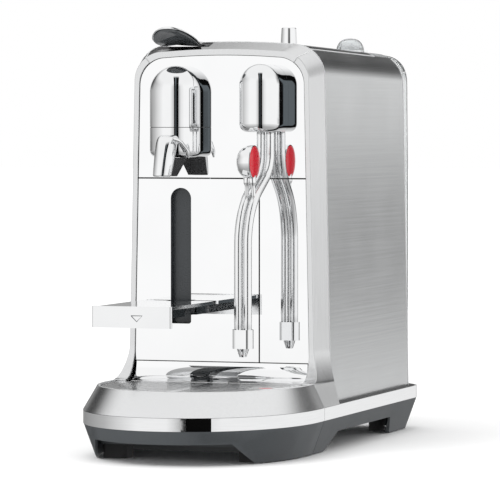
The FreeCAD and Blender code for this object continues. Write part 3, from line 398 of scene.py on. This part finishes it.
for x, drift in ((33.9, -0.4), (37.2, 1.6)):
    prong = route([at(x, -41.6, 202), at(x + drift / 2, -42.2, 195), at(x + drift, -42, 185.5)], (0.02,), 8)
    radii = [(2.9 - 1.5 * i / (len(prong) - 1)) * MM for i in range(len(prong))]
    piece("grip_prong_%d" % x, pipe(prong, radii, 20), "chrome", "steam_wand", (), smooth=1)


# ---- Lever -------------------------------------------------------------------------------------
LEVER_HEIGHTS = ((40, 299.2), (-10, 299.2), (-24, 299.3), (-32, 299.45), (-40, 299.8), (-46, 300.3),
                 (-52, 301.3), (-58, 302.8), (-64, 304.9), (-70, 307.0), (-74, 308.2), (-78, 309.0))


def lever_height(y):
    """Height of the lever's upper face along its middle, in millimetres."""
    for (y1, z1), (y0, z0) in zip(LEVER_HEIGHTS, LEVER_HEIGHTS[1:]):
        if y0 <= y <= y1:
            return z0 + (z1 - z0) * (y - y0) / (y1 - y0)
    return LEVER_HEIGHTS[0][1]


def lever_half(y):
    """Half-width of the lever: a round scoop in front that narrows to a straight arm."""
    if y <= -54:
        return math.sqrt(max(0.0, 17.5 ** 2 - (y + 60) ** 2))
    if y >= -34:
        return 11.0
    t = (y + 54) / 20
    return 16.45 + (11 - 16.45) * (t * t * (3 - 2 * t))


def lever_ring(y, upper, lower, inset, count=14):
    """Section of the lever between two depths below its upper face."""
    half = max(lever_half(y) - inset, 0.05)
    top, bottom = [], []
    for i in range(count + 1):
        x = half * math.cos(PI * i / count)
        z = lever_height(y) - 4.0 * (x / 17.5) ** 2
        edge = abs(x) / max(lever_half(y), 0.1)
        top.append(Vector(((lever_x + x) * MM, y * MM, (z - upper - 0.7 * edge ** 6) * MM)))
        bottom.append(Vector(((lever_x + x) * MM, y * MM, (z - lower + 0.5 * edge ** 6) * MM)))
    return top + bottom[::-1]


lever_low, lever_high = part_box("lever_handle")
lever_x = (lever_low.x + lever_high.x) / 2 / MM
nose = [-60 - 17.46 * math.cos(PI / 2 * i / 12) for i in range(12)]
along = nose + [-58, -54, -50, -46, -42, -38, -34, -28, -20, -10, 0, 10, 20, 28, 34, 36]
piece("lever_top", loft([lever_ring(y, 0, 1.8, 0) for y in along]), "chrome", "lever", ("lever_handle",),
      smooth=1)
under = [y for y in along if -76.5 < y < -44]
piece("lever_under", loft([lever_ring(y, 1.75, 3.3, 1.2) for y in under]), "under", "lever", ("lever_insert",),
      smooth=1)


# ---- Bezel legs, and bright lines on the seams that paint the edge highlights -------------------
# The body's arched outline, in millimetres: its inner edge, and how it changes with the offset outwards.
ARCH_TOP, TOP_STEP, TOP_FALL = 288.6, 1.1, 0.016
CORNER_RADIUS, CORNER_STEP = 20, 0.4
HALF_AT_SEAM, SEAM_HEIGHT, SIDE_LEAN = 64.75, 198.6, 0.01936
CROWN_SAG = 1120
FOOT_HEIGHT = 34.4


def arch_corner(offset, y):
    """Centre (x, z) and radius of the outline's upper right corner."""
    top = ARCH_TOP + TOP_STEP * offset - TOP_FALL * max(0.0, y - panel / MM)
    radius = CORNER_RADIUS + CORNER_STEP * offset
    shoulder = HALF_AT_SEAM + SIDE_LEAN * (SEAM_HEIGHT - top + radius) + offset - radius
    return shoulder, top - shoulder ** 2 / CROWN_SAG - radius, radius


def arch(offset, y, count=10):
    """Right half of the outline from its foot: the foot, the corner's points and the crown's, as (x, z)."""
    shoulder, side_z, radius = arch_corner(offset, y)
    top = ARCH_TOP + TOP_STEP * offset - TOP_FALL * max(0.0, y - panel / MM)
    foot = (HALF_AT_SEAM + SIDE_LEAN * (SEAM_HEIGHT - FOOT_HEIGHT) + offset, FOOT_HEIGHT)
    corner = [(shoulder + radius * math.cos(PI / 2 * i / count), side_z + radius * math.sin(PI / 2 * i / count))
              for i in range(count + 1)]
    crown = [(shoulder * (1 - i / 8), top - (shoulder * (1 - i / 8)) ** 2 / CROWN_SAG) for i in range(1, 9)]
    return foot, corner, crown


BEZEL_REAR = 20.0
LEG_STATIONS = 18
LEG_FOOT, COVE_TOP, COVE_RADIUS = 33.6, 76, 24.5
COVE_REACH = 18.3
MITRE_ANGLE, MITRE_STEP = 52.6, 0.15


def leg_ring(side, depths, points):
    """Section of a leg: points as (x, z), each at its own depth behind the panel."""
    return [at(side * x, y, z) for (x, z), y in zip(points, depths)]


def bezel_leg(side):
    """Leg of the bezel: a cove swept forward onto the tray, the upright, and the corner up to the mitre."""
    rings = []
    heights = [LEG_FOOT, 37, 41, 45, 48, 50.4]
    heights += [COVE_TOP - COVE_RADIUS * math.cos(PI / 2 * i / LEG_STATIONS) for i in range(LEG_STATIONS + 1)]
    for z in heights:
        u = min(1.0, (COVE_TOP - z) / COVE_RADIUS)
        swept = -1 - COVE_REACH * (1 - math.sqrt(max(0.0, 1 - u * u)))
        flare = ((COVE_TOP - z) / (COVE_TOP - LEG_FOOT)) ** 1.5
        rings.append(leg_ring(side, (swept, swept, BEZEL_REAR, BEZEL_REAR),
                              ((67.1 + 0.5 * u, z), (71.0 + 13.5 * flare, z), (76.45 + 8.0 * flare, z),
                               (67.1 + 0.5 * u, z))))
    corners = [arch_corner(offset, panel / MM + y) for offset, y in ((0, 0), (3.8, 0), (9.3, 20), (0, 20))]
    limits = [math.radians(MITRE_ANGLE + MITRE_STEP * offset) for offset in (0, 3.8, 9.3, 0)]
    for i in range(15):
        points = []
        for (shoulder, side_z, radius), limit in zip(corners, limits):
            a = limit * i / 14
            points.append((shoulder + radius * math.cos(a), side_z + radius * math.sin(a)))
        rings.append(leg_ring(side, (-1, -1, BEZEL_REAR, BEZEL_REAR), points))
    return loft(rings)


for side, name in ((-1, "bezel_left"), (1, "bezel_right")):
    crisp(piece(name + "_leg", bezel_leg(side), "bezel", "root", (name,), 0.4 * MM, smooth=0),
          30)

# Thin bright lines round the bezel's rear edge, along the top of each side panel and down its rear edge: painted
# highlights where the rounded panel edges catch the light.
foot, corner, crown = arch(9.3, panel / MM + 20.1)
half = [foot] + corner + crown
front_line = [at(x, 20.1, z) for x, z in half] + [at(-x, 20.1, z) for x, z in half[-2::-1]]
piece("painted_highlight_front", pipe(front_line, 0.32 * MM, 8), "edge", "root", (), smooth=0)
for side, name in ((-1, "left"), (1, "right")):
    highlight_line = []
    for i in range(13):
        y = 21 + (131.5 - 21 - panel / MM) * i / 12
        shoulder, side_z, radius = arch_corner(9.3, panel / MM + y)
        x = 61.35
        highlight_line.append(at(side * x, y, side_z + math.sqrt(radius ** 2 - (x - shoulder) ** 2)))
    piece("painted_highlight_top_" + name, pipe(highlight_line, 0.45 * MM, 8), "edge", "root", (), smooth=0)
    foot, corner, crown = arch(9.3, 171.8)
    rear_line = [Vector((side * x * MM, 0.1722, z * MM)) for x, z in [foot] + corner if x > 61.4]
    piece("painted_highlight_rear_" + name, pipe(rear_line, 0.4 * MM, 8), "edge", "root", (), smooth=0)


# Bright line along each mitre: a painted highlight on the mitred corner.
for side, name in ((-1, "left"), (1, "right")):
    ends = []
    for offset, y, angle in ((0.4, -1.15, 52.9), (3.8, -1.05, 53.4), (9.3, 20.0, 54.2)):
        shoulder, side_z, radius = arch_corner(offset, panel / MM + y)
        a = math.radians(angle)
        ends.append(at(side * (shoulder + radius * math.cos(a)), y, side_z + radius * math.sin(a)))
    piece("painted_highlight_mitre_" + name, pipe(ends, 0.36 * MM, 8), "edge", "root", (), smooth=0)


# ---- Mark on the support's lip -----------------------------------------------------------------
lip_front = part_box("support_plate")[0].y
mark = Vector((-28.5 * MM, lip_front - 0.06 * MM, 102.2 * MM))


def mark_line(points):
    """Points on the lip's front face, in millimetres from the mark's middle."""
    return [mark + Vector((x * MM, 0, z * MM)) for x, z in points]


piece("lip_arrow", pipe(mark_line([(-4.2, 0.6), (0, -3.6), (4.2, 0.6), (-4.2, 0.6)]), 0.3 * MM, 8), "ink",
      "cup_support", (), smooth=0)
piece("lip_bar", pipe(mark_line([(-4.2, 2.2), (4.2, 2.2)]), 0.32 * MM, 8), "ink", "cup_support", (),
      smooth=0)


# ---- Tank lid ----------------------------------------------------------------------------------
# The lid is a copy of the CAD lid with its blocky grip cut off, and a ribbed knob stands in its place.
GRIP_X, GRIP_Y, GRIP_RADIUS, GRIP_REACH = 32.0, 164.0, 11.0, 13
GRIP_CUT, LID_SKIN, KNOB_FOOT = 295.9, 293, 294.2
RIBS, RIB_DEPTH = 16, 0.035
lid_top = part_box("tank_lid")[1].z
bm = bmesh.new()
bm.from_mesh(nodes["tank_lid"].data)


def by_grip(v, floor_z):
    """Whether a vertex is near the grip and above a height in millimetres."""
    near = abs(v.co.x / MM - GRIP_X) < GRIP_REACH and abs(v.co.y / MM - GRIP_Y) < GRIP_REACH
    return near and v.co.z > floor_z * MM


bmesh.ops.delete(bm, geom=[v for v in bm.verts if by_grip(v, GRIP_CUT)], context="VERTS")
rim_edges = [e for e in bm.edges if e.is_boundary and all(by_grip(v, LID_SKIN) for v in e.verts)]
bmesh.ops.holes_fill(bm, edges=rim_edges, sides=0)
bmesh.ops.delete(bm, geom=[v for v in bm.verts if not v.link_faces], context="VERTS")
lid_mesh = bpy.data.meshes.new("lid")
bm.to_mesh(lid_mesh)
bm.free()
for attribute in [a for a in lid_mesh.attributes if a.name == "custom_normal"]:
    lid_mesh.attributes.remove(attribute)
crisp(piece("lid_shell", lid_mesh, "clear", "tank_lid", ("tank_lid",), smooth=0), 30)
foot_z = KNOB_FOOT * MM
rings = []
for i in range(13):
    a = PI / 2 * i / 12.3
    ring = []
    for k in range(96):
        turn = 2 * PI * k / 96
        rib = 1 - RIB_DEPTH * (0.5 + 0.5 * math.cos(RIBS * turn)) * math.cos(a) ** 0.5
        radius = GRIP_RADIUS * MM * math.cos(a) ** 0.75 * rib
        ring.append(Vector((GRIP_X * MM + radius * math.cos(turn), GRIP_Y * MM + radius * math.sin(turn),
                            foot_z + (lid_top - 0.3 * MM - foot_z) * math.sin(a))))
    rings.append(ring)
piece("lid_knob", loft(rings), "clear", "tank_lid", (), smooth=0)


# ---- Rim round the drip grid -------------------------------------------------------------------
NOSE_CENTRE, NOSE_POWER = -82.6 * MM, 2 / 2.09


def nose_line(half, front, rear, z, count=40):
    """Plan of the tray's rounded nose as a line, with straight sides back to rear, in metres."""
    points = [Vector((half, rear, z))]
    for i in range(count + 1):
        a = PI * i / count
        c, d = math.cos(a), math.sin(a)
        points.append(Vector((half * math.copysign(abs(c) ** NOSE_POWER, c),
                              NOSE_CENTRE - (NOSE_CENTRE - front) * d ** NOSE_POWER, z)))
    return points + [Vector((-half, rear, z))]


grid_low, grid_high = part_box("drip_grid")
ring_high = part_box("tray_ring")[1]
rim_line = nose_line(grid_high.x + 1.6 * MM, grid_low.y - 1.6 * MM, ring_high.y - 0.6 * MM,
                     ring_high.z - 0.9 * MM)
piece("ring_rim", pipe(rim_line, 1.1 * MM, 10), "edge", "tray_unit", (), smooth=0)


# ---- Softened edges of the carried-over covers -------------------------------------------------
SOFT = {"bezel_top": 0.4, "support_plate": 0.4, "support_arm": 0.6,
        "tank_plinth": 0.6, "lever_housing": 0.8, "base_shell": 0.5, "tray_skirt": 0.5, "spout_back": 0.5,
        "drip_grid": 0.3, "support_recess": 0.2}
for node, width in SOFT.items():
    soften = nodes[node].modifiers.new("edges", "BEVEL")
    soften.width = width * MM
    soften.segments = 2
    soften.limit_method = "ANGLE"
    soften.angle_limit = math.radians(45)
    soften.harden_normals = True


# ---- Camera, floor and light -------------------------------------------------------------------
scene = bpy.context.scene
camera_data = bpy.data.cameras.new("camera")
camera = bpy.data.objects.new("camera", camera_data)
scene.collection.objects.link(camera)
camera_data.sensor_width = 36
camera_data.lens = 265.5
camera_data.clip_end = 20
camera.location = (0.8732, -2.5966, 0.2406)
heading, dip = math.radians(18.5), math.radians(2.008)
forward = Vector((-math.sin(heading) * math.cos(dip), math.cos(heading) * math.cos(dip), -math.sin(dip)))
camera.rotation_euler = forward.to_track_quat("-Z", "Y").to_euler()
scene.camera = camera

world = bpy.data.worlds.new("studio")
world.use_nodes = True
world.node_tree.nodes["Background"].inputs["Color"].default_value = (1, 1, 1, 1)
world.node_tree.nodes["Background"].inputs["Strength"].default_value = 1.0
scene.world = world
scene.view_settings.view_transform = "Standard"


def flat(name, centre, size, facing):
    """Rectangle of the studio, facing along a direction."""
    mesh = bpy.data.meshes.new(name)
    w, h = size[0] / 2, size[1] / 2
    mesh.from_pydata([(-w, -h, 0), (w, -h, 0), (w, h, 0), (-w, h, 0)], [], [(0, 1, 2, 3)])
    thing = bpy.data.objects.new(name, mesh)
    scene.collection.objects.link(thing)
    thing.location = centre
    thing.rotation_euler = Vector(facing).to_track_quat("Z", "Y").to_euler()
    return thing


def ramp_of(tree, fac, stops):
    """Colour ramp with stops of (place, grey or colour)."""
    node = tree.nodes.new("ShaderNodeValToRGB")
    elements = node.color_ramp.elements
    elements[0].position, elements[1].position = stops[0][0], stops[-1][0]
    for place, _ in stops[1:-1]:
        elements.new(place)
    for element, (place, grey) in zip(elements, stops):
        element.position = place
        element.color = (list(grey) if isinstance(grey, tuple) else [grey] * 3) + [1]
    tree.links.new(fac, node.inputs["Fac"])
    return node.outputs["Color"]


def multiplied(tree, a, b):
    """Product of two colours."""
    node = tree.nodes.new("ShaderNodeMix")
    node.data_type, node.blend_type = "RGBA", "MULTIPLY"
    node.inputs[0].default_value = 1.0
    tree.links.new(a, node.inputs[6])
    tree.links.new(b, node.inputs[7])
    return node.outputs[2]


def across_tent(tree, distance):
    """Distance from the tent's centre as a share of the way across it."""
    node = tree.nodes.new("ShaderNodeMapRange")
    node.inputs["From Min"].default_value = -TENT_RADIUS
    node.inputs["From Max"].default_value = TENT_RADIUS
    tree.links.new(distance, node.inputs["Value"])
    return node.outputs["Result"]


def tent():
    """Studio tent that only reflections see: pale, greyer to the sides, a black flag round the camera that has a
    narrow grey slot, and a dark band above the horizon behind. Its stops are set for the main view."""
    bm = bmesh.new()
    bmesh.ops.create_uvsphere(bm, u_segments=64, v_segments=32, radius=TENT_RADIUS)
    mesh = bpy.data.meshes.new("tent")
    bm.to_mesh(mesh)
    bm.free()
    thing = bpy.data.objects.new("tent", mesh)
    scene.collection.objects.link(thing)
    thing.location = (0, 0, 0.2)
    m = bpy.data.materials.new("tent")
    m.use_nodes = True
    tree = m.node_tree
    tree.nodes.remove(tree.nodes["Principled BSDF"])
    place = tree.nodes.new("ShaderNodeTexCoord").outputs["Object"]
    round_about = tree.nodes.new("ShaderNodeTexGradient")
    round_about.gradient_type = "RADIAL"
    tree.links.new(place, round_about.inputs["Vector"])
    turn = round_about.outputs["Fac"]
    split = tree.nodes.new("ShaderNodeSeparateXYZ")
    tree.links.new(place, split.inputs["Vector"])
    height = across_tent(tree, split.outputs["Z"])
    sides = ramp_of(tree, turn, TENT_TURN)
    front = ramp_of(tree, height, TENT_FRONT)
    behind = ramp_of(tree, height, TENT_BEHIND)
    mix = tree.nodes.new("ShaderNodeMix")
    mix.data_type = "RGBA"
    tree.links.new(ramp_of(tree, turn, TENT_REAR_SIDE), mix.inputs[0])
    tree.links.new(front, mix.inputs[6])
    tree.links.new(behind, mix.inputs[7])
    roof = tree.nodes.new("ShaderNodeMix")
    roof.data_type = "RGBA"
    roof.inputs[7].default_value = (0.95, 0.95, 0.95, 1)
    tree.links.new(ramp_of(tree, height, TENT_ROOF), roof.inputs[0])
    tree.links.new(multiplied(tree, sides, mix.outputs[2]), roof.inputs[6])
    turned = tree.nodes.new("ShaderNodeMapping")
    turned.inputs["Rotation"].default_value = (0, 0, math.radians(FLAG_TURN))
    tree.links.new(place, turned.inputs["Vector"])
    split_flag = tree.nodes.new("ShaderNodeSeparateXYZ")
    tree.links.new(turned.outputs["Vector"], split_flag.inputs["Vector"])
    shares = [across_tent(tree, split_flag.outputs[axis]) for axis in ("X", "Y")]
    flag = tree.nodes.new("ShaderNodeMix")
    flag.data_type = "RGBA"
    flag.inputs[7].default_value = (1, 1, 1, 1)
    tree.links.new(ramp_of(tree, shares[1], FLAG_END), flag.inputs[0])
    tree.links.new(ramp_of(tree, shares[0], FLAG), flag.inputs[6])
    glow = tree.nodes.new("ShaderNodeEmission")
    tree.links.new(multiplied(tree, roof.outputs[2], flag.outputs[2]), glow.inputs["Color"])
    tree.links.new(glow.outputs["Emission"], tree.nodes["Material Output"].inputs["Surface"])
    m.cycles.emission_sampling = "NONE"
    mesh.materials.append(m)
    thing.visible_camera = thing.visible_diffuse = thing.visible_shadow = thing.visible_transmission = False


TENT_RADIUS = 6.0
TENT_REAR_SIDE = ((0.58, 0.0), (0.66, 1.0), (0.90, 1.0), (0.98, 0.0))
# Brightness by the turn about the vertical, as a share of a turn from the left side through the front,
# and by height, as a share of the way from the lowest point to the highest.
TENT_TURN = ((0.0, 0.52), (0.06, 0.74), (0.14, 1.0), (0.232, 1.0), (0.255, 0.8), (0.275, 0.55), (0.335, 0.5),
             (0.36, 0.85), (0.40, 1.0), (0.60, 1.0), (0.70, 0.95), (0.73, 0.85), (0.76, 0.64), (0.80, 0.46),
             (0.86, 0.30), (0.92, 0.38), (1.0, 0.52))
TENT_FRONT = ((0.0, 0.4), (0.18, 0.45), (0.41, 0.8), (0.465, 1.0), (1.0, 1.0))
TENT_BEHIND = ((0.0, 0.4), (0.18, 0.5), (0.40, 0.55), (0.436, 0.95), (0.458, 0.95), (0.474, 0.40),
               (0.498, 0.40), (0.507, 0.95), (0.532, 1.0), (0.556, 0.6), (0.60, 0.12), (0.66, 0.06),
               (0.75, 0.7), (0.85, 0.85), (1.0, 0.9))
TENT_ROOF = ((0.70, 0.0), (0.82, 1.0))
FLAG_TURN = -19.7      # degrees; the black flag runs up past the camera and ends before the top of the tent
FLAG = ((0.0, 1.0), (0.4155, 1.0), (0.4168, 0.006), (0.4710, 0.006), (0.4725, (0.21, 0.24, 0.26)),
        (0.4935, (0.21, 0.24, 0.26)), (0.4945, 0.006), (0.5832, 0.006), (0.5845, 1.0), (1.0, 1.0))
FLAG_END = ((0.28, 0.0), (0.36, 1.0))


floor = flat("floor", (0, 0, 0), (30, 30), (0, 0, 1))
floor.data.materials.append(surface("pale_floor", (0.985, 0.985, 0.985), 0, 0.9, (3, 3, 3), 0.005, 0.05, 0.0,
                                    ior=1.0))
floor.visible_glossy = False
world.cycles_visibility.glossy = False
tent()


def lamp(name, spot, target, size, power):
    data = bpy.data.lights.new(name, "AREA")
    data.shape = "RECTANGLE"
    data.size, data.size_y = size
    data.energy = power
    thing = bpy.data.objects.new(name, data)
    thing.location = spot
    thing.rotation_euler = (Vector(target) - Vector(spot)).to_track_quat("-Z", "Y").to_euler()
    scene.collection.objects.link(thing)
    thing.visible_glossy = False
    return thing


lamp("key", (-1.6, -1.8, 2.4), (0, 0, 0.1), (1.6, 1.6), 14)
sun_data = bpy.data.lights.new("sky", "SUN")
sun_data.energy = 0.7
sun_data.angle = math.radians(50)
sun = bpy.data.objects.new("sky", sun_data)
sun.rotation_euler = (math.radians(20), math.radians(-15), 0)
scene.collection.objects.link(sun)
sun.visible_glossy = False
